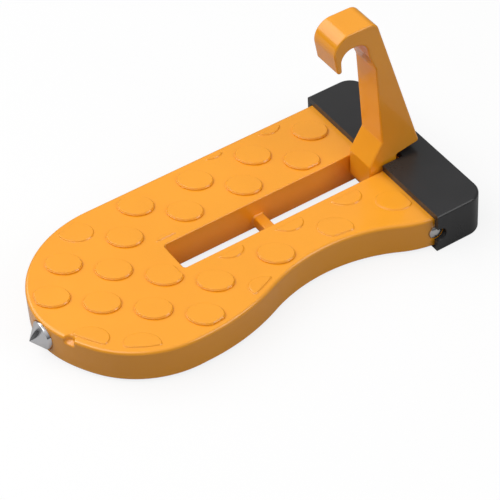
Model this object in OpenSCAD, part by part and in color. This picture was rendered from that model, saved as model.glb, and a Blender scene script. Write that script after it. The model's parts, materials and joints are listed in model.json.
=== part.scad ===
// Folding car door latch step: a cast tread with a swinging hook that hangs on a door striker.
// X runs along the tread towards the hook, Z is up, and the origin is the middle of the
// footprint, on the surface that the step stands on.

/* [Tread plate] */
// Length of the casting
plate_len = 157; // [150:1:175]
// Width of the casting
plate_w = 78; // [74:1:84]
// Thickness of the casting
plate_t = 13.2; // [12.8:0.2:16]
// How far the waist cuts into the near edge
waist_depth = 11.5; // [8:0.5:14]
// Distance of the waist from the rounded end
waist_x = 97.5; // [94:0.5:100]
// Radius at the bottom of the waist
waist_r = 60; // [50:1:70]
// Length of the shoulder on the rounded end's side of the waist
shoulder_long = 55; // [50:1:56]
// Length of the shoulder on the hook's side of the waist
shoulder_short = 46; // [42:1:48]

/* [Slot and crossbar] */
// Width of the slot
slot_w = 14; // [13.6:0.2:15]
// Distance of the slot from the rounded end
slot_inset = 52.4; // [48:0.5:56]
// Radius of the slot's corners
slot_corner_r = 1.2; // [0.5:0.1:2]
// Distance of the crossbar's middle from the rounded end
bar_x = 92.2; // [90:0.5:96]
// Width of the crossbar
bar_w = 4.2; // [3:0.2:6]
// Depth of the crossbar's top below the tread
bar_drop = 7.3; // [7.3:0.1:8]
// Height of the crossbar
bar_h = 4.8; // [3:0.1:5]

/* [Anti-slip studs] */
// Half length of a stud
stud_a = 6.8; // [5:0.1:7]
// Half width of a stud
stud_b = 5.2; // [4:0.1:6]
// Height of a stud
stud_h = 0.6; // [0.4:0.1:1]
// Pitch of the studs along their long axis
stud_pitch_a = 18.3; // [16:0.1:20]
// Pitch of the studs across their long axis
stud_pitch_b = 16.5; // [15:0.1:18]
// Plain margin between the studs and every edge
stud_margin = 2.6; // [2:0.1:4]

/* [Underside] */
// Wall around the rim and the slot
rim_wall = 4; // [3:0.2:5]
// Thickness of the tread above the pockets
skin_t = 4; // [3:0.2:5]
// Thickness of the ribs
rib_t = 3; // [2:0.2:4]
// Pitch of the ribs across the plate
rib_pitch = 24; // [20:1:30]
// Length of the solid end that holds the hinge pin
block_len = 26; // [25:0.5:30]

/* [Hinge] */
// Distance of the hinge axis from the cap's end of the plate
pin_setback = 18.5; // [18:0.1:20]
// Diameter of the hinge pin
pin_d = 4; // [3:0.1:5]
// Radial play of the hook on the pin
pin_play = 0.08; // [0.05:0.01:0.1]
// Diameter of the domed heads
head_d = 5.6; // [5.2:0.1:6]
// Height of the domed heads
head_h = 1.5; // [1:0.1:1.8]
// Depth of the flat seats under the heads
seat_depth = 1.1; // [1:0.1:1.4]
// Gap around a head
head_gap = 0.4; // [0.3:0.1:0.6]

/* [Hook] */
// Thickness of the hook
hook_w = 13; // [12:0.1:13.2]
// Radius of the boss around the pin
boss_r = 6.1; // [5.5:0.1:6.1]
// Height of the hook above the hinge axis
hook_h = 76.4; // [72:0.2:80]
// Radius of the throat that takes the striker
throat_r = 5.7; // [5:0.1:6]
// Distance of the throat in front of the hinge axis
throat_out = 11.2; // [10.5:0.1:11.5]
// Thickness of the metal above the throat
crown_t = 7.2; // [7:0.1:9]
// Radius of the beak's nose
nose_r = 6.5; // [6:0.1:7]
// Radius of the beak's tip
tip_r = 1; // [0.8:0.1:1.2]
// Radius of the corner at the top of the back
top_corner_r = 3.5; // [2:0.1:4]
// Distance of the heel behind the hinge axis
heel_out = 16.3; // [15.5:0.1:16.5]
// Height of the heel above the hinge axis
heel_h = 12.1; // [12:0.1:12.6]
// Angle by which the hook can still tip back onto its heel
heel_angle = 9; // [8:0.5:9]
// Lean of the back edge
back_lean = 15.5; // [15:0.1:16]
// Lean of the front face
front_lean = 3.6; // [3:0.1:4]
// Height of the front face's lower end above the hinge axis
front_low = 19.3; // [18:0.1:20]
// Height of the front face's upper end above the hinge axis
front_high = 54.6; // [53:0.1:56]
// Height of the boss's flat front above the hinge axis
chamfer_low = 10.3; // [9.5:0.1:11]

/* [End cap] */
// Length of the cap over the plate's end
cap_len = 21.5; // [20.6:0.1:23]
// Wall of the cap at its sides and back
cap_wall = 2; // [1.6:0.1:2.4]
// Wall of the cap on top, where the heel beds
cap_top = 2.6; // [2.2:0.1:2.7]
// Wall of the cap underneath
cap_floor = 1.1; // [0.9:0.1:1.4]
// Radius of the cap's back corners
cap_corner_r = 7; // [5:0.5:9]
// Gap between the cap and the plate
cap_gap = 0.1; // [0.05:0.05:0.2]

/* [Breaker tip] */
// Length of the cone outside the plate
cone_len = 7; // [5:0.1:9]
// Diameter of the cone's base
cone_d = 11; // [9:0.2:11.6]
// Diameter of the shank in the plate
shank_d = 6; // [4:0.2:7]
// Length of the shank
shank_len = 10; // [8:0.5:12]
// Depth of the flat seat for the cone
cone_seat = 1; // [0.8:0.1:1.4]

/* [Rim notch] */
// Radius of the notch in the rim
notch_r = 2.3; // [1.5:0.1:3]
// Depth of the notch
notch_depth = 2.4; // [1:0.1:4]
// Direction of the notch, seen from the middle of the rounded end
notch_angle = 202; // [198:1:210]

/* [Hidden] */
$fn = 64;
cut = 1;
fit = 0.05;
half_w = plate_w / 2;
end_r = half_w;
overall_len = cone_len + plate_len + cap_gap + cap_wall;
plate_x0 = cone_len - overall_len / 2;
plate_x1 = plate_x0 + plate_len;
plate_z0 = cap_floor + cap_gap;
plate_z1 = plate_z0 + plate_t;
mid_z = plate_z0 + plate_t / 2;
end_cx = plate_x0 + end_r;
pin_x = plate_x1 - pin_setback;
pin_r = pin_d / 2;

// Waist of the near edge: a hollow arc between two shoulders, all tangent to each other
waist_cx = plate_x0 + waist_x;
waist_cy = waist_depth - half_w - waist_r;
function shoulder_r(run) = (run * run / waist_depth + waist_depth) / 2 - waist_r;
long_r = shoulder_r(shoulder_long);
short_r = shoulder_r(shoulder_short);

// Slot: long enough for the neck of the hook to tip back
slot_x0 = plate_x0 + slot_inset;
neck_back = boss_r * cos(heel_angle) + (plate_t / 2 + boss_r * sin(heel_angle)) * tan(heel_angle);
slot_x1 = pin_x + neck_back + 0.7;
bar_cx = plate_x0 + bar_x;

// Studs: a lattice turned by 45 degrees, anchored where one stud nearly fills the rounded end
lattice_turn = -44.7;
stud_steps = 10;
stud_sides = 28;
anchor = [plate_x0 + 18.7, 19.5];

// Hook, drawn around the hinge axis with its front towards -X
throat_z = hook_h - crown_t - throat_r;
nose = [-throat_out - 2.2, hook_h - nose_r];
tip = [-throat_out - throat_r - tip_r, throat_z - 1.9];
function back_x(z) = heel_out - (z - heel_h) * tan(back_lean);
function front_x(z) = -0.1 - (z - front_low) * tan(front_lean);
top_corner_z = hook_h - top_corner_r;
top_corner = [back_x(top_corner_z) - top_corner_r / cos(back_lean), top_corner_z];
heel_low = heel_h - (heel_out - boss_r) * tan(heel_angle);

// Cap
cap_x1 = overall_len / 2;
cap_x0 = cap_x1 - cap_len;
cap_z1 = plate_z1 + cap_gap + cap_top;
cap_half = half_w + cap_gap + cap_wall;
hook_cut_w = slot_w + 0.6;
hook_cut_x = pin_x + boss_r * cos(heel_angle) + heel_low * sin(heel_angle) + 0.5;
head_clear_r = head_d / 2 + head_gap;
seat_y = half_w - seat_depth;

// Outline of the plate, drawn in by a margin
module plate_outline(inset = 0) {
    difference() {
        union() {
            translate([end_cx, 0]) circle(r = end_r - inset, $fn = 128);
            translate([end_cx, inset - half_w])
                square([plate_x1 - end_cx - inset, plate_w - 2 * inset]);
        }
        waist_cut(inset);
    }
}

// Area that the waist takes out of the near edge
module waist_cut(inset) {
    low = -half_w - cut;
    x_long = waist_cx - shoulder_long;
    x_short = waist_cx + shoulder_short;
    t_long = waist_r / (waist_r + long_r);
    t_short = waist_r / (waist_r + short_r);
    tangent_long = [waist_cx - shoulder_long * t_long, waist_cy + (long_r - half_w - waist_cy) * t_long];
    tangent_short = [waist_cx + shoulder_short * t_short, waist_cy + (short_r - half_w - waist_cy) * t_short];
    difference() {
        polygon([[x_long, low], [x_short, low], [x_short, -half_w + inset], tangent_short,
                 [waist_cx, -half_w + waist_depth], tangent_long, [x_long, -half_w + inset]]);
        translate([x_long, long_r - half_w]) circle(r = long_r - inset, $fn = 180);
        translate([x_short, short_r - half_w]) circle(r = short_r - inset, $fn = 180);
    }
    translate([waist_cx, waist_cy]) circle(r = waist_r + inset, $fn = 180);
}

// Outline of the slot, grown by a margin
module slot_outline(grow = 0) {
    x0 = slot_x0 - grow;
    w = slot_w / 2 + grow;
    translate([x0 + slot_corner_r, -w]) square([slot_x1 + grow - x0 - slot_corner_r, 2 * w]);
    translate([x0, slot_corner_r - w]) square([2 * slot_corner_r, 2 * (w - slot_corner_r)]);
    for (side = [-1, 1])
        translate([x0 + slot_corner_r, side * (w - slot_corner_r)]) circle(r = slot_corner_r, $fn = 32);
}

// Oval outline of one stud at the middle of the lattice
module stud_outline() {
    rotate(lattice_turn)
        polygon([for (i = [0:stud_sides - 1])
            [stud_a * cos(i * 360 / stud_sides), stud_b * sin(i * 360 / stud_sides)]]);
}

// Centre of the stud in column i and row j of the lattice
function stud_place(i, j) = anchor
    + i * stud_pitch_a * [cos(lattice_turn), sin(lattice_turn)]
    + j * stud_pitch_b * [sin(lattice_turn), -cos(lattice_turn)];

// All studs, clipped where they meet the margin
module studs() {
    difference() {
        intersection() {
            translate([0, 0, plate_z1 - fit]) linear_extrude(stud_h + fit)
                plate_outline(stud_margin);
            for (i = [-1:stud_steps], j = [-stud_steps:3]) {
                at = stud_place(i, j);
                if (at[0] > plate_x0 && at[0] < cap_x0 && abs(at[1]) < half_w)
                    translate([at[0], at[1], plate_z1 - fit]) linear_extrude(stud_h + fit)
                        stud_outline();
            }
        }
        translate([0, 0, plate_z1 - cut]) linear_extrude(stud_h + 2 * cut) slot_outline(stud_margin);
        translate([cap_x0 - stud_margin / 2, -half_w, plate_z1 - cut])
            cube([cap_len + cut, plate_w, stud_h + 2 * cut]);
    }
}

// Pockets of the underside, between the rim, the slot and the ribs
module pockets() {
    y1 = slot_w / 2 + rim_wall;
    y2 = half_w - rim_wall;
    rib_y = (y1 + y2) / 2;
    x_end = plate_x1 - block_len;
    translate([0, 0, plate_z0 - cut]) linear_extrude(plate_t - skin_t + cut) difference() {
        plate_outline(rim_wall);
        slot_outline(rim_wall);
        translate([x_end, -half_w]) square([block_len + cut, plate_w]);
        translate([plate_x0, -shank_d]) square([shank_len + rim_wall + 2, 2 * shank_d]);
        for (side = [-1, 1]) {
            translate([plate_x0, side * rib_y - rib_t / 2]) square([plate_len, rib_t]);
            translate([plate_x0, side * (y1 - rib_t / 2) - rib_t / 2]) square([slot_inset, rib_t]);
        }
        for (x = [x_end - rib_pitch : -rib_pitch : plate_x0])
            translate([x, -half_w]) square([rib_t, plate_w]);
    }
}

// Tread plate with its rim, slot, crossbar, studs, pockets and holes
module step_plate() {
    color("orange") difference() {
        union() {
            difference() {
                translate([0, 0, plate_z0]) linear_extrude(plate_t) plate_outline();
                translate([0, 0, plate_z0 - cut]) linear_extrude(plate_t + 2 * cut) slot_outline();
            }
            translate([bar_cx - bar_w / 2, -slot_w / 2 - cut, plate_z1 - bar_drop - bar_h])
                cube([bar_w, slot_w + 2 * cut, bar_h]);
            studs();
        }
        pockets();
        translate([pin_x, 0, mid_z]) rotate([90, 0, 0])
            cylinder(r = pin_r + fit, h = plate_w + 2 * cut, center = true);
        for (side = [-1, 1])
            translate([pin_x, side * (seat_y + cut), mid_z]) rotate([90, 0, 0])
                cylinder(r = head_clear_r, h = 2 * cut, center = true);
        translate([plate_x0 - cut, 0, mid_z]) rotate([0, 90, 0])
            cylinder(d = shank_d + 2 * fit, h = cut + cone_seat + shank_len + 1);
        translate([plate_x0 - cut, 0, mid_z]) rotate([0, 90, 0])
            cylinder(d = cone_d + 2 * fit, h = cut + cone_seat);
        rotate_notch() cylinder(r = notch_r, h = notch_depth + cut);
    }
}

// Places the rim notch on the edge of the rounded end
module rotate_notch() {
    translate([end_cx, 0, plate_z1 - notch_depth]) rotate([0, 0, notch_angle])
        translate([end_r, 0, 0]) children();
}

// Straight-sided body of the hook in side view, with the hinge axis at the origin
module hook_blank() {
    polygon([
        [-boss_r, 0], [-boss_r, chamfer_low],
        [front_x(front_low), front_low], [front_x(front_high), front_high],
        [throat_r - throat_out, throat_z], [-throat_r - throat_out, throat_z],
        [tip[0] + tip_r, tip[1]], [tip[0] - tip_r, tip[1]],
        [nose[0] - nose_r, nose[1]], [nose[0], hook_h], [top_corner[0], hook_h],
        top_corner + top_corner_r * [cos(back_lean), sin(back_lean)],
        [heel_out, heel_h], [boss_r, heel_low], [boss_r, 0]]);
}

// Round bar across the hook at a point of its side view
module cross_bar(at, r, h) {
    translate([at[0], at[1], 0]) cylinder(r = r, h = h, center = true);
}

// Hook with its rounded boss, nose, tip and back, its throat and its hinge bore
module hook_arm() {
    color("darkorange") translate([pin_x, 0, mid_z]) rotate([90, 0, 0]) difference() {
        union() {
            linear_extrude(hook_w, center = true) hook_blank();
            cross_bar([0, 0], boss_r, hook_w);
            cross_bar(nose, nose_r, hook_w);
            cross_bar(tip, tip_r, hook_w);
            cross_bar(top_corner, top_corner_r, hook_w);
        }
        cross_bar([-throat_out, throat_z], throat_r, hook_w + 2 * cut);
        cross_bar([0, 0], pin_r + pin_play, hook_w + 2 * cut);
    }
}

// Hinge pin with a domed head at each end
module hinge_pin() {
    dome_r = (pow(head_d / 2, 2) + head_h * head_h) / (2 * head_h);
    color("silver") translate([pin_x, 0, mid_z]) rotate([90, 0, 0]) {
        cylinder(r = pin_r, h = 2 * (seat_y + fit), center = true);
        for (side = [0, 180]) rotate([side, 0, 0]) translate([0, 0, seat_y]) intersection() {
            translate([0, 0, head_h - dome_r]) sphere(r = dome_r);
            cylinder(d = head_d, h = head_h);
        }
    }
}

// Outer body of the cap: straight behind its mouth, with upright round corners at the back
module cap_body() {
    translate([cap_x0, -cap_half, 0]) cube([cap_len - cap_corner_r, 2 * cap_half, cap_z1]);
    translate([cap_x0, cap_corner_r - cap_half, 0])
        cube([cap_len, 2 * (cap_half - cap_corner_r), cap_z1]);
    for (side = [-1, 1])
        translate([cap_x1 - cap_corner_r, side * (cap_half - cap_corner_r), 0])
            cylinder(r = cap_corner_r, h = cap_z1);
}

// Rubber sleeve over the hinge end of the plate
module end_cap() {
    color("dimgray") difference() {
        cap_body();
        translate([cap_x0 - cut, -half_w - cap_gap, cap_floor])
            cube([cap_len + cut - cap_wall, plate_w + 2 * cap_gap, plate_t + 2 * cap_gap]);
        translate([cap_x0 - cut, -hook_cut_w / 2, mid_z])
            cube([hook_cut_x - cap_x0 + cut, hook_cut_w, plate_t]);
        for (side = [-1, 1]) {
            translate([pin_x, side * cap_half, mid_z]) rotate([90, 0, 0])
                cylinder(r = head_clear_r, h = 4 * cap_wall, center = true);
        }
    }
}

// Steel cone with its shank
module breaker_tip() {
    color("lightgray") translate([plate_x0, 0, mid_z]) rotate([0, -90, 0]) {
        cylinder(d1 = cone_d, d2 = 0, h = cone_len);
        translate([0, 0, -cone_seat]) cylinder(d = cone_d, h = cone_seat);
        translate([0, 0, -cone_seat - shank_len]) cylinder(d = shank_d, h = shank_len + fit);
    }
}

step_plate();
hook_arm();
hinge_pin();
end_cap();
breaker_tip();
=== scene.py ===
import json
import math

import bmesh
import bpy
from mathutils import Matrix, Vector


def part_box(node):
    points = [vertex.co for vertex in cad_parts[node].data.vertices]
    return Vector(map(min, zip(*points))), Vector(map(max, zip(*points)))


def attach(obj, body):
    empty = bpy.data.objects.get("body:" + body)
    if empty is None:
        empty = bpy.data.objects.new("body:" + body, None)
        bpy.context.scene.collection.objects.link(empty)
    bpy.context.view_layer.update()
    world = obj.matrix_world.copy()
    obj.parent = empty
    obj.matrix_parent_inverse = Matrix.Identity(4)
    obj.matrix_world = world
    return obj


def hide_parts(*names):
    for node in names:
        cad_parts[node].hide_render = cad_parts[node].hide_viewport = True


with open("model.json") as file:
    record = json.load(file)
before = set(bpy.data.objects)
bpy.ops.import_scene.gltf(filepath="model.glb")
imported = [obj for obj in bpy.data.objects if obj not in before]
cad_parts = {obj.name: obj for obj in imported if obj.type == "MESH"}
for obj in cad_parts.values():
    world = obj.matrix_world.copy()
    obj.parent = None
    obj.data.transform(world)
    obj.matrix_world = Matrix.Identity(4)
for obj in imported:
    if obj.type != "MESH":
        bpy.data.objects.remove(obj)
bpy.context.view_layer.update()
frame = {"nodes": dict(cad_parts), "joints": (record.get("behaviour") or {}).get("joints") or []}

# Studio: a pale floor, a broad softbox behind the step and two small ones at its left and front, in
# a room that is dark at floor level and bright above. The camera looks down on the rounded end
# through a long lens, as in a catalogue picture.
mm = 0.001
view_turn, view_rise, view_roll = (math.radians(angle) for angle in (-30.51, 44.18, -3.93))
view_distance = 821.3 * mm
view_aim = Vector((7.4, -0.4, 0)) * mm
camera_data = bpy.data.cameras.new("camera")
camera_data.sensor_width = 36
camera_data.lens = 163.4
camera = bpy.data.objects.new("camera", camera_data)
bpy.context.scene.collection.objects.link(camera)
back = Vector((math.sin(view_turn) * math.cos(view_rise), -math.cos(view_turn) * math.cos(view_rise),
               math.sin(view_rise)))
level_right = (-back).cross(Vector((0, 0, 1))).normalized()
level_up = level_right.cross(-back)
right = level_right * math.cos(view_roll) + level_up * math.sin(view_roll)
up = level_up * math.cos(view_roll) - level_right * math.sin(view_roll)
camera.matrix_world = Matrix.Translation(view_aim + back * view_distance) @ Matrix(
    (right, up, back)).transposed().to_4x4()
bpy.context.scene.camera = camera
bpy.context.scene.view_settings.view_transform = "Standard"


class Wire:
    """One socket of a node tree. A sum with it adds Math nodes, and new() adds any other node."""

    def __init__(self, tree, socket=None):
        self.tree, self.socket = tree, socket

    def new(self, kind, settings=None, values=None, out=0):
        node = self.tree.nodes.new(kind)
        for name, value in (settings or {}).items():
            if name == "stops":
                while len(node.color_ramp.elements) < len(value):
                    node.color_ramp.elements.new(1)
                for element, (place, color) in zip(node.color_ramp.elements, value):
                    element.position, element.color = place, color
            else:
                setattr(node, name, value)
        for name, value in (values or {}).items():
            if isinstance(value, Wire):
                self.tree.links.new(value.socket, node.inputs[name])
            else:
                node.inputs[name].default_value = value
        return Wire(self.tree, node.outputs[out])

    def out(self, name):
        return Wire(self.tree, self.socket.node.outputs[name])

    def math(self, operation, *values):
        return self.new("ShaderNodeMath", {"operation": operation}, dict(enumerate(values)))

    def vector(self, operation, *values, out=0):
        return self.new("ShaderNodeVectorMath", {"operation": operation}, dict(enumerate(values)), out)

    def __add__(self, other): return self.math("ADD", self, other)
    def __radd__(self, other): return self.math("ADD", other, self)
    def __sub__(self, other): return self.math("SUBTRACT", self, other)
    def __rsub__(self, other): return self.math("SUBTRACT", other, self)
    def __mul__(self, other): return self.math("MULTIPLY", self, other)
    def __rmul__(self, other): return self.math("MULTIPLY", other, self)
    def __truediv__(self, other): return self.math("DIVIDE", self, other)
    def __gt__(self, other): return self.math("GREATER_THAN", self, other)
    def __lt__(self, other): return self.math("LESS_THAN", self, other)


def new_material(name):
    """An empty material: its start wire, its shader node and its output."""
    material = bpy.data.materials.new(name)
    material.use_nodes = True
    nodes = material.node_tree.nodes
    shader, output = nodes["Principled BSDF"], nodes["Material Output"]
    return material, Wire(material.node_tree), shader, output


def link(wire, target):
    wire.tree.links.new(wire.socket, target)


floor_half = 2.0
floor_mesh = bpy.data.meshes.new("floor")
floor_mesh.from_pydata([(x * floor_half, y * floor_half, 0) for x, y in ((-1, -1), (1, -1), (1, 1), (-1, 1))],
                       [], [(0, 1, 2, 3)])
floor = bpy.data.objects.new("floor", floor_mesh)
bpy.context.scene.collection.objects.link(floor)
floor_material, start, shader, output = new_material("studio_floor")
path = start.new("ShaderNodeLightPath")
in_view = path.out("Is Camera Ray") + path.out("Is Transmission Ray")
in_gloss = path.out("Is Glossy Ray")

# The floor is near white to the camera, mid grey in the paint's gloss, and dim where it lights the step
floor_shade = in_view * 0.75 + in_gloss * 0.3 + 0.15
link(start.new("ShaderNodeCombineColor", None, {0: floor_shade, 1: floor_shade, 2: floor_shade}),
     shader.inputs["Base Color"])
shader.inputs["Roughness"].default_value = 0.7
shader.inputs["Specular IOR Level"].default_value = 0.1
white = start.new("ShaderNodeEmission", None, {"Color": (1, 1, 1, 1), "Strength": 1.0})
floor_mix = start.new("ShaderNodeMixShader", None,
                      {0: in_view * 0.82, 1: Wire(start.tree, shader.outputs[0]), 2: white})
link(floor_mix, output.inputs["Surface"])
floor_mesh.materials.append(floor_material)

world = bpy.data.worlds.new("room")
bpy.context.scene.world = world
world.use_nodes = True
room = Wire(world.node_tree)
path = room.new("ShaderNodeLightPath")
rise = room.new("ShaderNodeSeparateXYZ", None,
                {0: room.new("ShaderNodeTexCoord", out="Generated")}, out="Z")
room_low, room_high = 0.03, 0.68
room_light = room.new("ShaderNodeMapRange", None, {0: rise, 1: 0.0, 2: 0.9, 3: room_low, 4: room_high})
room_level = room.new("ShaderNodeMix", {"data_type": "FLOAT"},
                      {0: path.out("Is Camera Ray"), 2: room_light, 3: 1.0})
background = world.node_tree.nodes["Background"]
background.inputs["Color"].default_value = (1, 1, 1, 1)
link(room_level, background.inputs["Strength"])


def softbox(name, place, aim, size, power):
    """A rectangular softbox that looks from a place at an aim."""
    data = bpy.data.lights.new(name, "AREA")
    data.shape = "RECTANGLE"
    data.size, data.size_y, data.energy = size[0], size[1], power
    lamp = bpy.data.objects.new(name, data)
    lamp.location = place
    lamp.rotation_euler = (Vector(aim) - Vector(place)).to_track_quat("-Z", "Y").to_euler()
    bpy.context.scene.collection.objects.link(lamp)


softbox("back_softbox", (-0.5, 0.65, 0.75), (0, 0, 0), (1.2, 0.9), 6.3)
softbox("left_softbox", (-0.42, -0.05, 0.75), (0, 0, 0), (0.6, 0.6), 1.8)
softbox("front_softbox", (0.5, -0.75, 0.6), (0, 0, 0), (0.6, 0.6), 2.7)


# Tread plate: one pressure die casting in aluminium with a glossy orange paint. It has a rounded
# end, a waist in the near edge, a long slot with a recessed crossbar, a small notch in the rim, soft
# rims, and a cored underside with ribs.
plate_low, plate_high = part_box("step_plate")
stud_height = 0.6 * mm
plate_top = plate_high.z - stud_height
half_width = plate_high.y
end_center = plate_low.x + half_width
waist_depth, waist_radius = 11.5 * mm, 60 * mm
waist_x = plate_low.x + 97.5 * mm
shoulder_runs = (55 * mm, 46 * mm)
nose_swell = 2.2 * mm
rim_round, foot_round, slot_round = 1.3 * mm, 0.6 * mm, 0.5 * mm


def arc(center, radius, first, last, count, hollow=False):
    """Points on an arc with their outward normals. On a hollow arc the normals face its centre."""
    found = []
    for i in range(count + 1):
        angle = math.radians(first + (last - first) * i / count)
        spoke = Vector((math.cos(angle), math.sin(angle)))
        found.append((Vector(center) + spoke * radius, -spoke if hollow else spoke))
    return found


def line(start, end, count=1):
    """Points on a straight side, counter-clockwise round the shape, with its outward normal."""
    side = Vector(end) - Vector(start)
    normal = Vector((side.y, -side.x)).normalized()
    return [(Vector(start) + side * i / count, normal) for i in range(count + 1)]


def waist():
    """The near edge's waist: a shoulder, a hollow and a shoulder, tangent to each other."""
    hollow_y = waist_depth - half_width - waist_radius
    parts = []
    for sign, run in zip((-1, 1), shoulder_runs):
        radius = (run * run / waist_depth + waist_depth) / 2 - waist_radius
        sweep = math.degrees(math.asin(run / (waist_radius + radius)))
        center = (waist_x + sign * run, radius - half_width)
        parts.append((center, radius, sweep))
    (long_at, long_r, long_sweep), (short_at, short_r, short_sweep) = parts
    return (arc(long_at, long_r, -90, -90 + long_sweep, 24)
            + arc((waist_x, hollow_y), waist_radius, 90 + long_sweep, 90 - short_sweep, 36, hollow=True)
            + arc(short_at, short_r, -90 - short_sweep, -90, 24))


def tidy(outline):
    """Drops points that repeat the one before."""
    kept = [outline[0]]
    for point, normal in outline[1:]:
        if (point - kept[-1][0]).length > 0.01 * mm:
            kept.append((point, normal))
    if (kept[-1][0] - kept[0][0]).length < 0.01 * mm:
        kept.pop()
    return kept


def ease(low, high, value):
    """0 below low, 1 above high, and a soft S between them."""
    share = min(max((value - low) / (high - low), 0), 1)
    return share * share * (3 - 2 * share)


def swollen(points):
    """The rounded end, which reaches out a little further at the steel cone than a circle."""
    found = []
    for point, normal in points:
        angle = math.degrees(math.atan2(normal.y, normal.x)) % 360
        share = ease(90, 165, angle) * (1 - ease(168, 212, angle))
        found.append((point + normal * nose_swell * share, normal))
    return found


plate_outline = tidy(
    swollen(arc((end_center, 0), half_width, 90, 270, 360))
    + line((end_center, -half_width), (waist_x - shoulder_runs[0], -half_width))
    + waist()
    + line((waist_x + shoulder_runs[1], -half_width), (plate_high.x, -half_width))
    + line((plate_high.x, -half_width), (plate_high.x, half_width))
    + line((plate_high.x, half_width), (end_center, half_width), 40))

slot_low, slot_high = plate_low.x + 52.4 * mm, 70.37 * mm
slot_half, slot_corner = 7 * mm, 1.2 * mm
slot_outline = tidy(
    line((slot_high, slot_half), (slot_low + slot_corner, slot_half), 30)
    + arc((slot_low + slot_corner, slot_half - slot_corner), slot_corner, 90, 180, 8)
    + arc((slot_low + slot_corner, slot_corner - slot_half), slot_corner, 180, 270, 8)
    + line((slot_low + slot_corner, -slot_half), (slot_high, -slot_half), 30)
    + line((slot_high, -slot_half), (slot_high, slot_half)))

notch_at = math.radians(199.3)
notch_radius, notch_depth, notch_fade = 2.1 * mm, 2.5 * mm, 0.8 * mm


def notch_bite(point, z):
    """How far the half-round notch in the rim takes a point of the wall inwards."""
    away = point - Vector((end_center, 0)) - Vector((math.cos(notch_at), math.sin(notch_at))) * half_width
    share = away.length / notch_radius
    return notch_radius * math.sqrt(max(1 - share * share, 0)) * ease(-notch_fade, notch_fade, z - notch_floor)


def edge_profile(top_round, low_round, low_z, high_z, steps=7, between=()):
    """Distance inwards and height down a wall with a rounded top edge and a rounded foot."""
    rows = []
    for i in range(steps + 1):
        angle = math.pi / 2 * (1 - i / steps)
        rows.append((top_round * (1 - math.cos(angle)), high_z - top_round * (1 - math.sin(angle))))
    rows += [(0, height) for height in between]
    for i in range(steps + 1):
        angle = math.pi / 2 * i / steps
        rows.append((low_round * (1 - math.cos(angle)), low_z + low_round * (1 - math.sin(angle))))
    return rows


def sweep(bm, outline, profile, place, bite=None):
    """Sweeps a profile of distance inwards and height round an outline and returns its rings."""
    rings = []
    for inset, height in profile:
        ring = []
        for point, normal in outline:
            depth = inset + (bite(point, height) if bite else 0)
            spot = point - normal * depth
            ring.append(bm.verts.new(place(spot.x, spot.y, height)))
        rings.append(ring)
    for above, below in zip(rings, rings[1:]):
        for i in range(len(outline)):
            j = (i + 1) % len(outline)
            bm.faces.new((above[i], below[i], below[j], above[j]))
    return rings


def fill(bm, rings):
    """Closes a flat face whose border and holes are the given rings."""
    edges = []
    for ring in rings:
        for i, vert in enumerate(ring):
            after = ring[(i + 1) % len(ring)]
            edges.append(bm.edges.get((vert, after)) or bm.edges.new((vert, after)))
    bmesh.ops.triangle_fill(bm, edges=edges, use_beauty=True, use_dissolve=False)


def flat(x, y, z):
    return Vector((x, y, z))


def finish_mesh(bm, name, sharp=35):
    """Merges repeated points, turns the faces outwards, shades them smooth and makes the object."""
    bmesh.ops.remove_doubles(bm, verts=bm.verts, dist=0.0005 * mm)
    bmesh.ops.recalc_face_normals(bm, faces=bm.faces)
    mesh = bpy.data.meshes.new(name)
    bm.to_mesh(mesh)
    bm.free()
    mesh.shade_smooth()
    mesh.set_sharp_from_angle(angle=math.radians(sharp))
    piece = bpy.data.objects.new(name, mesh)
    bpy.context.scene.collection.objects.link(piece)
    return piece


def bake_modifiers(piece):
    """Turns a piece with its modifiers into a plain mesh."""
    graph = bpy.context.evaluated_depsgraph_get()
    mesh = bpy.data.meshes.new_from_object(piece.evaluated_get(graph), depsgraph=graph)
    piece.modifiers.clear()
    piece.data = mesh
    return piece


def cut_away(piece, cutters):
    """Cuts the cutters out of a piece."""
    for cutter in cutters:
        modifier = piece.modifiers.new("cut", "BOOLEAN")
        modifier.operation, modifier.solver, modifier.object = "DIFFERENCE", "EXACT", cutter
    bake_modifiers(piece)
    for cutter in cutters:
        bpy.data.objects.remove(cutter)
    return piece


def weigh_normals(piece):
    """Lets the large flat faces decide the shading at their soft edges."""
    modifier = piece.modifiers.new("flat faces first", "WEIGHTED_NORMAL")
    modifier.keep_sharp = True
    modifier.weight = 90
    return piece


skin, rim_wall = 4 * mm, 4 * mm
outer_wall = 0.65 * rim_wall
pocket_end = plate_high.x - 26 * mm
nose_block = (plate_low.x + 16 * mm, 6 * mm)


def pocket_faces(bm):
    """The walls and ceilings of the pockets, as they are in the casting."""
    source = frame["nodes"]["step_plate"].data.copy()
    bm.from_mesh(source)
    bpy.data.meshes.remove(source)
    bmesh.ops.remove_doubles(bm, verts=bm.verts, dist=0.002 * mm)
    near = 0.1 * mm

    def rim_distance(spot):
        found = []
        for (start, _), (end, _) in zip(plate_outline, plate_outline[1:] + plate_outline[:1]):
            share = min(max((spot - start).dot(end - start) / (end - start).length_squared, 0), 1)
            found.append((spot - start.lerp(end, share)).length)
        return min(found)

    def outside(face):
        at = face.calc_center_median()
        if at.z < plate_low.z + near or at.z > plate_top - skin + near or at.x > pocket_end + near:
            return True
        if abs(at.y) < slot_half + rim_wall - near and at.x > slot_low - rim_wall + near:
            return True
        if abs(at.y) < nose_block[1] - near and at.x < nose_block[0] - near:
            return True
        return rim_distance(Vector((at.x, at.y))) < outer_wall

    bmesh.ops.delete(bm, geom=[f for f in bm.faces if outside(f)], context="FACES")
    return [e for e in bm.edges if e.is_boundary]


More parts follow.
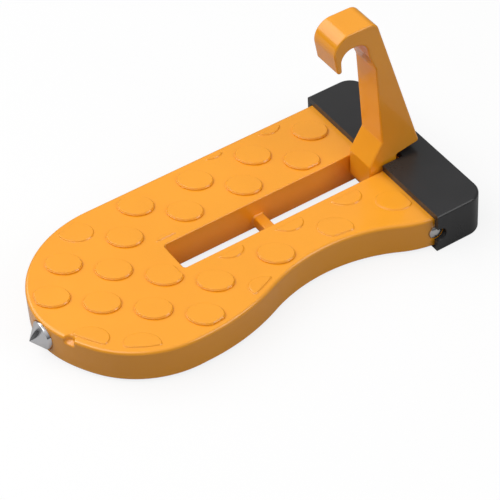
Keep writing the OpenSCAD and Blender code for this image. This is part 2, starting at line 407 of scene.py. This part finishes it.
bm = bmesh.new()
pocket_border = pocket_faces(bm)
notch_floor = plate_top - notch_depth
outer_rings = sweep(bm, plate_outline,
                    edge_profile(rim_round, foot_round, plate_low.z, plate_top, 7,
                                 [notch_floor + notch_fade * (1 - share / 4) for share in range(9)]),
                    flat, notch_bite)
slot_rings = sweep(bm, [(p, -n) for p, n in slot_outline][::-1],
                   edge_profile(slot_round, slot_round, plate_low.z, plate_top, 4), flat)
fill(bm, [outer_rings[0], slot_rings[0]])
for e in pocket_border:
    for v in e.verts:
        v.co.z = plate_low.z


def loops(edges):
    """Sorts border edges into closed rings of vertices."""
    left, found = set(edges), []
    while left:
        edge = left.pop()
        ring = [edge.verts[0], edge.verts[1]]
        while True:
            after = next((e for e in ring[-1].link_edges if e in left), None)
            if after is None:
                break
            left.discard(after)
            ring.append(after.other_vert(ring[-1]))
        found.append(ring[:-1])
    return found


fill(bm, [outer_rings[-1], slot_rings[-1]] + loops(pocket_border))

bar_width, bar_top, bar_low = 4.2 * mm, plate_top - 7.3 * mm, plate_top - 12.1 * mm
bar_x, bar_round, bar_flare, bar_root = plate_low.x + 92.2 * mm, 0.5 * mm, 0.9 * mm, 0.4 * mm


def crossbar(bm):
    """The recessed crossbar, a rounded bar that flares where it grows out of the slot's walls."""
    rings = []
    rows = [(-slot_half - bar_root, bar_flare)]
    for i in range(7):
        angle = math.pi / 2 * i / 6
        rows.append((-slot_half + bar_flare * (1 - math.cos(angle)), bar_flare * (1 - math.sin(angle))))
    rows += [(-y, g) for y, g in rows[::-1]]
    middle_z, half_x, half_z = (bar_top + bar_low) / 2, bar_width / 2, (bar_top - bar_low) / 2
    for y, grown in rows:
        ring = []
        for turn, (sx, sz) in enumerate(((1, 1), (-1, 1), (-1, -1), (1, -1))):
            for i in range(5):
                angle = math.pi / 2 * (turn + i / 4)
                x = sx * (half_x - bar_round) + (bar_round + grown) * math.cos(angle)
                z = sz * (half_z - bar_round) + (bar_round + grown) * math.sin(angle)
                ring.append(bm.verts.new((bar_x + x, y, middle_z + z)))
        rings.append(ring)
    for above, below in zip(rings, rings[1:]):
        for i in range(len(above)):
            j = (i + 1) % len(above)
            bm.faces.new((above[i], below[i], below[j], above[j]))
    bm.faces.new(rings[0])
    bm.faces.new(rings[-1])


plate = finish_mesh(bm, "tread_plate")
bm = bmesh.new()
crossbar(bm)
slot_bar = finish_mesh(bm, "slot_bar")

pin_place = Vector(frame["joints"][0]["pos_m"])
seat_depth, head_radius, head_gap = 1.1 * mm, 2.8 * mm, 0.12 * mm


def disc_cutter(place, axis, radius, length):
    """A round cutter centred at a place."""
    cutter_bm = bmesh.new()
    turn = Vector((0, 0, 1)).rotation_difference(Vector(axis)).to_matrix().to_4x4()
    bmesh.ops.create_cone(cutter_bm, cap_ends=True, segments=64, radius1=radius, radius2=radius, depth=length,
                          matrix=Matrix.Translation(place) @ turn)
    return finish_mesh(cutter_bm, "cutter")


tip_low, tip_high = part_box("breaker_tip")
tip_z = (tip_low.z + tip_high.z) / 2
collar_radius, collar_front = 5.4 * mm, -78.5 * mm
collar_back, collar_gap = collar_front + 1.6 * mm, 0.35 * mm
head_seats = [disc_cutter((pin_place.x, side * half_width, pin_place.z), (0, 1, 0), head_radius + head_gap,
                          2 * seat_depth) for side in (-1, 1)]
collar_seat = disc_cutter((collar_back - 4 * mm, 0, tip_z), (1, 0, 0), collar_radius + collar_gap, 8 * mm)
cut_away(plate, head_seats + [collar_seat])

# Studs: a lattice of low ovals turned by 45 degrees, cast in one with the tread, so that a shoe
# doesn't slip. An oval that would cross the plain margin along an edge ends there, and the step up to
# its flat top is a soft S.
stud_half_length, stud_half_width = 6.8 * mm, 5.2 * mm
stud_pitch_along, stud_pitch_across = 18.3 * mm, 16.5 * mm
stud_turn = math.radians(-44.7)
stud_anchor = Vector((plate_low.x + 18.7 * mm, 19.5 * mm, plate_top))
stud_margin, stud_step, stud_lift = 2.5 * mm, 0.45 * mm, 0.45 * mm
stud_root, stud_least, corner_blend = 0.4 * mm, 0.4 * mm, 0.6 * mm


def stud_limit():
    """The area that the studs may cover, as a sunken floor with a wall round it."""
    bm = bmesh.new()
    edge_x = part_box("end_cap")[0].x - stud_margin / 2
    border = [p - n * stud_margin for p, n in plate_outline]
    near = min((p for p in border if p.y < 0 and p.x < edge_x), key=lambda p: edge_x - p.x)
    far = min((p for p in border if p.y > 0 and p.x < edge_x), key=lambda p: edge_x - p.x)
    border = [p for p in border if p.x < edge_x]
    border[border.index(near) + 1:border.index(near) + 1] = [Vector((edge_x, near.y)), Vector((edge_x, far.y))]
    side = slot_half + stud_margin
    hole = [Vector(corner) for corner in ((slot_low - stud_margin, side), (slot_low - stud_margin, -side),
                                          (edge_x - 0.01 * mm, -side), (edge_x - 0.01 * mm, side))]
    floor_rings = []
    for outline in (border, hole):
        low, high = [[bm.verts.new((p.x, p.y, plate_top + lift)) for p in outline] for lift in (-5 * mm, 5 * mm)]
        for i in range(len(outline)):
            j = (i + 1) % len(outline)
            bm.faces.new((low[i], low[j], high[j], high[i]))
        floor_rings.append(low)
    fill(bm, floor_rings)
    return finish_mesh(bm, "stud_limit")


def stud_tree():
    """A node tree that lays the studs on their lattice and clips them at the limit."""
    tree = bpy.data.node_groups.new("studs", "GeometryNodeTree")
    lengths = ("Half Length", "Half Width", "Height", "Step Width", "Pitch Along", "Pitch Across", "Turn")
    sockets = [("Geometry", "Geometry")] + [(name, "Float") for name in lengths]
    sockets += [("Anchor", "Vector"), ("Reach", "Int"), ("Sides", "Int"), ("Rings", "Int"),
                ("Limit", "Object"), ("Material", "Material")]
    for name, kind in sockets:
        tree.interface.new_socket(name, in_out="INPUT", socket_type="NodeSocket" + kind)
    tree.interface.new_socket("Geometry", in_out="OUTPUT", socket_type="NodeSocketGeometry")
    start = Wire(tree)
    given = start.new("NodeGroupInput")
    half_length, half_breadth, height, step, pitch_along, pitch_across, turn = (given.out(n) for n in lengths)
    rings = given.out("Rings")
    limit = start.new("GeometryNodeObjectInfo", None, {"Object": given.out("Limit")}, out="Geometry")
    where = start.new("GeometryNodeInputPosition")

    def node(kind, values, out=0, **settings):
        return start.new("GeometryNode" + kind, settings, values, out)

    def named(name, kind="FLOAT"):
        return node("InputNamedAttribute", {"Name": name}, data_type=kind)

    def store(geometry, name, value, kind="FLOAT"):
        return node("StoreNamedAttribute", {"Geometry": geometry, "Name": name, "Value": value},
                    data_type=kind, domain="POINT")

    def split(vector):
        parts = start.new("ShaderNodeSeparateXYZ", None, {0: vector})
        return parts.out("X"), parts.out("Y")

    def join(x, y, z):
        return start.new("ShaderNodeCombineXYZ", None, {0: x, 1: y, 2: z})

    def scaled(vector, factor):
        return start.new("ShaderNodeVectorMath", {"operation": "SCALE"}, {0: vector, "Scale": factor})

    def turned(vector, angle):
        return start.new("ShaderNodeVectorRotate", {"rotation_type": "Z_AXIS"},
                         {"Vector": vector, "Angle": angle})

    def largest(one, other):
        return start.math("MAXIMUM", one, other)

    def smallest(one, other):
        return start.math("MINIMUM", one, other)

    def plus(one, other):
        return start.vector("ADD", one, other)

    def inside(place):
        above = plus(place, (0, 0, 1 * mm))
        return node("Raycast", {"Target Geometry": limit, "Source Position": above,
                                "Ray Direction": (0, 0, -1), "Ray Length": 0.1}, out="Is Hit")

    # Lattice points round the anchor
    count = given.out("Reach") * 2 + 1
    grid = node("MeshGrid", {"Vertices X": count, "Vertices Y": count, "Size X": (count - 1) * pitch_along,
                             "Size Y": (count - 1) * pitch_across}, out="Mesh")
    lattice = node("SetPosition", {"Geometry": grid, "Position": plus(turned(where, turn), given.out("Anchor"))})

    # The middle of what the limit leaves of each oval
    wall = node("Proximity", {0: limit}, out="Position", target_element="FACES")
    side = inside(where) * 2 - 1
    inward = scaled(start.vector("NORMALIZE", start.vector("SUBTRACT", where, wall)), side)
    mean = (half_length + half_breadth) * 0.5
    shift = largest((mean - wall.out("Distance") * side) * 0.5, 0)
    lattice = store(lattice, "stud_place", where, "FLOAT_VECTOR")
    lattice = store(lattice, "stud_middle", plus(where, scaled(inward, shift)), "FLOAT_VECTOR")
    middle = named("stud_middle", "FLOAT_VECTOR")
    offset = turned(start.vector("SUBTRACT", middle, named("stud_place", "FLOAT_VECTOR")), turn * -1)
    offset_x, offset_y = split(offset)
    share_x, share_y = offset_x / half_length, offset_y / half_breadth
    oval_room = (1 - start.math("SQRT", share_x * share_x + share_y * share_y)) * half_breadth
    wall_room = node("Proximity", {0: limit, "Sample Position": middle}, out="Distance", target_element="FACES")
    lattice = store(lattice, "stud_room", smallest(wall_room, oval_room))
    spare = largest(1 - inside(middle), named("stud_room") < stud_least)
    lattice = node("DeleteGeometry", {"Geometry": lattice, "Selection": spare}, domain="POINT")

    # One stud as a sheet: its columns are directions, and its rows are a pole, a sunk ring, the rings of
    # the step, an inner ring that keeps the top flat, and a pole
    rows = rings + 3
    sheet = node("MeshGrid", {"Vertices X": given.out("Sides") + 1, "Vertices Y": rows + 1, "Size X": 1,
                              "Size Y": 1}, out="Mesh")
    across, along = split(where)
    sheet = store(sheet, "direction", (across + 0.5) * math.tau)
    sheet = store(sheet, "row", start.math("ROUND", (along + 0.5) * rows))
    studs = node("InstanceOnPoints", {"Points": node("MeshToPoints", {"Mesh": lattice}), "Instance": sheet})
    studs = node("RealizeInstances", {"Geometry": studs})

    # The reach of a ring in its direction: to the oval or to the limit, whichever comes first
    direction, row = named("direction"), named("row")
    climb = smallest(largest((row - 2) / (rings - 1), 0), 1)
    drop = smallest(climb * step, named("stud_room"))
    heading = join(start.math("COSINE", direction), start.math("SINE", direction), 0)
    ray = node("Raycast", {"Target Geometry": limit, "Source Position": middle, "Ray Direction": heading,
                           "Ray Length": 1.0}, out="Hit Distance")
    facing = start.math("ABSOLUTE", start.vector("DOT_PRODUCT", heading, ray.out("Hit Normal"), out="Value"))
    wall_reach = ray - drop / largest(facing, 0.05)
    heading_x, heading_y = split(turned(heading, turn * -1))
    from_x, from_y = offset_x / (half_length - drop), offset_y / (half_breadth - drop)
    way_x, way_y = heading_x / (half_length - drop), heading_y / (half_breadth - drop)
    square, cross = way_x * way_x + way_y * way_y, from_x * way_x + from_y * way_y
    rest = cross * cross - square * (from_x * from_x + from_y * from_y - 1)
    oval_reach = (start.math("SQRT", largest(rest, 0)) - cross) / square
    reach = largest(start.math("SMOOTH_MIN", oval_reach, wall_reach, corner_blend), 0)
    reach = reach * (1 - (row < 0.5) - (row > rings + 2.5)) * (1 - (row > rings + 1.5) * 0.25)
    rise = drop / step
    sunk = row < 1.5
    lift = height * rise * rise * (3 - 2 * rise) * (1 - sunk) - sunk * stud_root
    spot = plus(plus(middle, scaled(heading, reach)), join(0, 0, lift))
    studs = node("SetPosition", {"Geometry": studs, "Position": spot})
    studs = node("MergeByDistance", {"Geometry": studs, "Distance": 0.002 * mm})
    for name in ("stud_place", "stud_middle", "stud_room", "direction", "row"):
        studs = node("RemoveAttribute", {"Geometry": studs, "Name": name})
    studs = node("SetShadeSmooth", {"Geometry": studs})
    studs = node("RealizeInstances", {"Geometry": studs})
    studs = node("SetMaterial", {"Geometry": studs, "Material": given.out("Material")})
    link(studs, tree.nodes.new("NodeGroupOutput").inputs["Geometry"])
    return tree


def run_tree(tree, name, inputs):
    """Runs a node tree on an empty mesh with named inputs and returns the plain mesh piece."""
    piece = bpy.data.objects.new(name, bpy.data.meshes.new(name))
    bpy.context.scene.collection.objects.link(piece)
    modifier = piece.modifiers.new(name, "NODES")
    modifier.node_group = tree
    sockets = {i.name: i.identifier for i in tree.interface.items_tree if i.in_out == "INPUT"}
    for socket, value in inputs.items():
        modifier[sockets[socket]] = value
    return bake_modifiers(piece)


def orange_paint(name, tint):
    """Glossy orange paint: a clear coat over a colour that varies a little, with faint orange peel."""
    material, start, shader, output = new_material(name)
    spot = start.new("ShaderNodeTexCoord", out="Object")
    cloud = start.new("ShaderNodeTexNoise", None, {"Vector": spot, "Scale": 38.0, "Detail": 3.0}, out="Fac")
    color = start.new("ShaderNodeValToRGB", {"stops": tint}, {"Fac": cloud}, out="Color")
    link(color, shader.inputs["Base Color"])
    haze = start.new("ShaderNodeTexNoise", None, {"Vector": spot, "Scale": 120.0, "Detail": 2.0}, out="Fac")
    link(haze * 0.08 + 0.2, shader.inputs["Roughness"])
    peel = start.new("ShaderNodeTexNoise", None, {"Vector": spot, "Scale": 700.0, "Detail": 1.0}, out="Fac")
    swim = start.new("ShaderNodeTexNoise", None, {"Vector": spot, "Scale": 130.0, "Detail": 1.0}, out="Fac")
    bump = start.new("ShaderNodeBump", None,
                     {"Strength": 0.35, "Distance": 0.05 * mm, "Height": peel * 0.25 + swim}, out="Normal")
    link(bump, shader.inputs["Normal"])
    shader.inputs["Coat Weight"].default_value = 0.5
    shader.inputs["Coat Roughness"].default_value = 0.05
    return material


orange_tint = ((0.3, (0.93, 0.355, 0.01, 1)), (0.7, (0.97, 0.38, 0.013, 1)))
plate_paint = orange_paint("orange_paint", orange_tint)
plate.data.materials.clear()
plate.data.materials.append(plate_paint)
limit = stud_limit()
studs = run_tree(stud_tree(), "studs", {
    "Half Length": stud_half_length, "Half Width": stud_half_width, "Height": stud_lift,
    "Step Width": stud_step, "Pitch Along": stud_pitch_along, "Pitch Across": stud_pitch_across,
    "Turn": stud_turn, "Anchor": tuple(stud_anchor), "Reach": 11, "Sides": 64, "Rings": 8,
    "Limit": limit, "Material": plate_paint})
bpy.data.objects.remove(limit)


def join_pieces(piece, *others):
    """Adds other meshes to a piece, as parts of one casting or moulding."""
    with bpy.context.temp_override(active_object=piece, selected_editable_objects=[piece, *others]):
        bpy.ops.object.join()
    return piece


slot_bar.data.materials.append(plate_paint)
join_pieces(plate, slot_bar, studs)
plate.data.set_sharp_from_angle(angle=math.radians(35))
bake_modifiers(weigh_normals(plate))
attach(plate, "step")
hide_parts("step_plate")


# Steel cone: the hard point that breaks a side window. It is turned and plated, and its collar sits
# in a flat seat in the middle of the rounded end, with a thin dark joint round it.
cone_profile = [(0, collar_back), (collar_radius - 0.1 * mm, collar_back),
                (collar_radius, collar_back - 0.1 * mm), (collar_radius, collar_front + 0.15 * mm),
                (collar_radius - 0.05 * mm, collar_front + 0.04 * mm),
                (collar_radius - 0.15 * mm, collar_front), (0.25 * mm, tip_low.x + 0.14 * mm),
                (0.12 * mm, tip_low.x + 0.03 * mm), (0, tip_low.x)]


def lathe(bm, profile, place, sides=96):
    """Turns a profile of radius and distance round an axis. A radius of 0 closes an end."""
    rings = []
    for radius, along in profile:
        if radius == 0:
            rings.append([bm.verts.new(place(0, 0, along))])
        else:
            rings.append([bm.verts.new(place(radius * math.cos(math.tau * i / sides),
                                             radius * math.sin(math.tau * i / sides), along))
                          for i in range(sides)])
    for first, second in zip(rings, rings[1:]):
        for i in range(sides):
            j = (i + 1) % sides
            corners = [first[i % len(first)], second[i % len(second)], second[j % len(second)],
                       first[j % len(first)]]
            bm.faces.new(dict.fromkeys(corners))
    return rings


bm = bmesh.new()
lathe(bm, cone_profile, lambda u, v, along: Vector((along, u, tip_z + v)), 128)
cone = finish_mesh(bm, "breaker_cone", 40)


def polished_steel(name, tint, roughness, axis, place):
    """Polished steel with the fine rings that turning leaves round an axis."""
    material, start, shader, output = new_material(name)
    spot = start.new("ShaderNodeTexCoord", out="Object")
    spot = start.vector("SUBTRACT", spot, tuple(place))
    spot = start.vector("MULTIPLY", spot, tuple(1 - a for a in axis))
    reach = start.vector("LENGTH", spot, out="Value")
    rings = start.math("SINE", reach * 26000)
    smear = start.new("ShaderNodeTexNoise", None, {"Vector": spot, "Scale": 400.0, "Detail": 2.0}, out="Fac")
    link(smear * 0.06 + roughness, shader.inputs["Roughness"])
    bump = start.new("ShaderNodeBump", None, {"Strength": 0.12, "Distance": 0.01 * mm, "Height": rings},
                     out="Normal")
    link(bump, shader.inputs["Normal"])
    shader.inputs["Base Color"].default_value = tint
    shader.inputs["Metallic"].default_value = 1
    return material


cone.data.materials.append(polished_steel("tip_chrome", (0.78, 0.78, 0.8, 1), 0.05, (1, 0, 0), (0, 0, tip_z)))
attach(cone, "step")
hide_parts("breaker_tip")


# Hinge pin: a steel rivet across the plate. Its shank carries the hook, and its domed heads sit in
# round flat seats in the plate's side walls.
head_height, pin_radius = 1.9 * mm, 2.0 * mm
seat_y = half_width - seat_depth
head_edge = 0.9 * mm
dome = (head_radius ** 2 + (head_height - head_edge) ** 2) / (2 * (head_height - head_edge))
head_profile = [(0, seat_y + head_height)]
for i in range(1, 13):
    radius = head_radius * i / 12
    head_profile.append((radius, seat_y + head_height - dome + math.sqrt(dome * dome - radius * radius)))
head_profile += [(head_radius, seat_y + 0.06 * mm), (head_radius - 0.06 * mm, seat_y), (pin_radius, seat_y)]
head_profile += [(radius, -along) for radius, along in head_profile[::-1]]
bm = bmesh.new()
lathe(bm, head_profile, lambda u, v, along: Vector((pin_place.x + u, along, pin_place.z + v)), 64)
pin = finish_mesh(bm, "hinge_rivet", 40)
pin.data.materials.append(polished_steel("pin_steel", (0.62, 0.61, 0.6, 1), 0.16, (0, 1, 0), pin_place))
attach(pin, "step")
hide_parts("hinge_pin")


# Hook: a flat orange casting 13 mm thick that turns on the pin. Its throat takes the door striker,
# its heel beds on the cap, and it folds into the slot. Its outline has soft corners and its edges
# are rounded.
hook_half, hook_edge, bore_radius, bore_bevel = 6.5 * mm, 0.7 * mm, 2.08 * mm, 0.3 * mm
hook_corners = [
    (-6.1, -6.1, 6.1), (6.1, -6.1, 6.1), (6.1, 10.48, 0.8), (16.2, 12.1, 1.1), (-1.9, 75.4, 4.2),
    (-21.0, 75.7, 7.0), (-18.5, 59.9, 0.9), (-16.7, 60.2, 0.8), (-17.0, 68.8, 4.6),
    (-6.1, 68.8, 5.2), (-5.3, 61.7, 3.0), (-2.4, 54.2, 4.0), (-0.4, 19.3, 1.2), (-6.1, 10.3, 1.5)]


def rounded(corners):
    """An outline, counter-clockwise, from corners of x, z and radius in millimetres."""
    found = []
    for i, (x, z, radius) in enumerate(corners):
        here = Vector((x, z)) * mm
        before = (here - Vector(corners[i - 1][:2]) * mm).normalized()
        after = (Vector(corners[(i + 1) % len(corners)][:2]) * mm - here).normalized()
        turn = math.atan2(before.x * after.y - before.y * after.x, before.dot(after))
        reach = radius * mm * math.tan(abs(turn) / 2)
        sign = 1 if turn > 0 else -1
        inwards = Vector((-before.y, before.x)) * sign
        middle = here - before * reach + inwards * radius * mm
        steps = max(3, round(abs(turn) * 15))
        for k in range(steps + 1):
            angle = turn * k / steps
            spoke = -inwards * math.cos(angle) + Vector((inwards.y, -inwards.x)) * math.sin(angle)
            found.append((middle + spoke * radius * mm, spoke * sign))
    return found


def side_view(u, v, along):
    """A place in the hook's side view, measured from the pin, at a distance across it."""
    return Vector((pin_place.x + u, along, pin_place.z + v))


bm = bmesh.new()
hook_rings = sweep(bm, rounded(hook_corners), edge_profile(hook_edge, hook_edge, -hook_half, hook_half, 6),
                   side_view)
bore = arc((0, 0), bore_radius, 0, 360, 48, hollow=True)[:-1]
bore_rings = sweep(bm, bore[::-1], [(-bore_bevel, hook_half), (0, hook_half - bore_bevel),
                                    (0, bore_bevel - hook_half), (-bore_bevel, -hook_half)], side_view)
fill(bm, [hook_rings[0], bore_rings[0]])
fill(bm, [hook_rings[-1], bore_rings[-1]])
hook = finish_mesh(bm, "swing_hook", 40)
hook.data.materials.append(orange_paint("hook_paint", orange_tint))
bake_modifiers(weigh_normals(hook))
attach(hook, "hook")
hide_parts("hook_arm")


# End cap: a moulded rubber sleeve over the hinge end, which keeps the step off the car's paint. It
# is cut out for the hook and for the rivet's heads, and all its edges are soft.
cap_low, cap_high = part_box("end_cap")
cap_corner, cap_round, cap_foot = 7 * mm, 1.2 * mm, 0.8 * mm
cap_wall, cap_gap, cap_floor, cap_bevel = 2 * mm, 0.1 * mm, 1.1 * mm, 0.35 * mm
cap_inner, hook_cut_half, hook_cut_end = half_width + cap_gap, slot_half + 0.3 * mm, 70.6 * mm
past_edge = 1 * mm
cap_outline = tidy(
    line((cap_low.x, cap_low.y), (cap_high.x - cap_corner, cap_low.y), 6)
    + arc((cap_high.x - cap_corner, cap_low.y + cap_corner), cap_corner, -90, 0, 20)
    + arc((cap_high.x - cap_corner, cap_high.y - cap_corner), cap_corner, 0, 90, 20)
    + line((cap_high.x - cap_corner, cap_high.y), (cap_low.x, cap_high.y), 6)
    + line((cap_low.x, cap_high.y), (cap_low.x, cap_low.y), 1))


def block_cutter(low, high):
    """A block between two corners, for cutting."""
    cutter_bm = bmesh.new()
    low, high = Vector(low), Vector(high)
    bmesh.ops.create_cube(cutter_bm, size=1, matrix=Matrix.Translation((low + high) / 2)
                          @ Matrix.Diagonal((*(high - low), 1)))
    return finish_mesh(cutter_bm, "cutter")


bm = bmesh.new()
cap_rings = sweep(bm, cap_outline, edge_profile(cap_round, cap_foot, cap_low.z, cap_high.z), flat)
fill(bm, [cap_rings[0]])
fill(bm, [cap_rings[-1]])
cap = finish_mesh(bm, "rubber_cap")
cut_away(cap, [
    block_cutter((cap_low.x - past_edge, -cap_inner, cap_floor),
                 (cap_high.x - cap_wall, cap_inner, plate_top + cap_gap)),
    block_cutter((cap_low.x - past_edge, -hook_cut_half, pin_place.z), (hook_cut_end, hook_cut_half, 20 * mm)),
    *[disc_cutter((pin_place.x, side * cap_high.y, pin_place.z), (0, 1, 0), head_radius + head_gap, 4 * cap_wall)
      for side in (-1, 1)]])
soften = cap.modifiers.new("soft edges", "BEVEL")
soften.width, soften.segments, soften.limit_method = cap_bevel, 3, "ANGLE"
soften.angle_limit = math.radians(50)
bake_modifiers(weigh_normals(cap))


def soft_rubber(name, tint):
    """Satin black rubber with a fine grain and a faint bloom."""
    material, start, shader, output = new_material(name)
    spot = start.new("ShaderNodeTexCoord", out="Object")
    bloom = start.new("ShaderNodeTexNoise", None, {"Vector": spot, "Scale": 60.0, "Detail": 4.0}, out="Fac")
    color = start.new("ShaderNodeValToRGB", {"stops": tint}, {"Fac": bloom}, out="Color")
    link(color, shader.inputs["Base Color"])
    link(bloom * 0.1 + 0.24, shader.inputs["Roughness"])
    grain = start.new("ShaderNodeTexNoise", None, {"Vector": spot, "Scale": 2600.0, "Detail": 2.0}, out="Fac")
    bump = start.new("ShaderNodeBump", None, {"Strength": 0.4, "Distance": 0.02 * mm, "Height": grain},
                     out="Normal")
    link(bump, shader.inputs["Normal"])
    return material


rubber_tint = ((0.3, (0.018, 0.018, 0.019, 1)), (0.7, (0.023, 0.023, 0.0245, 1)))
cap.data.materials.clear()
cap.data.materials.append(soft_rubber("cap_rubber", rubber_tint))
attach(cap, "step")
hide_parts("end_cap")
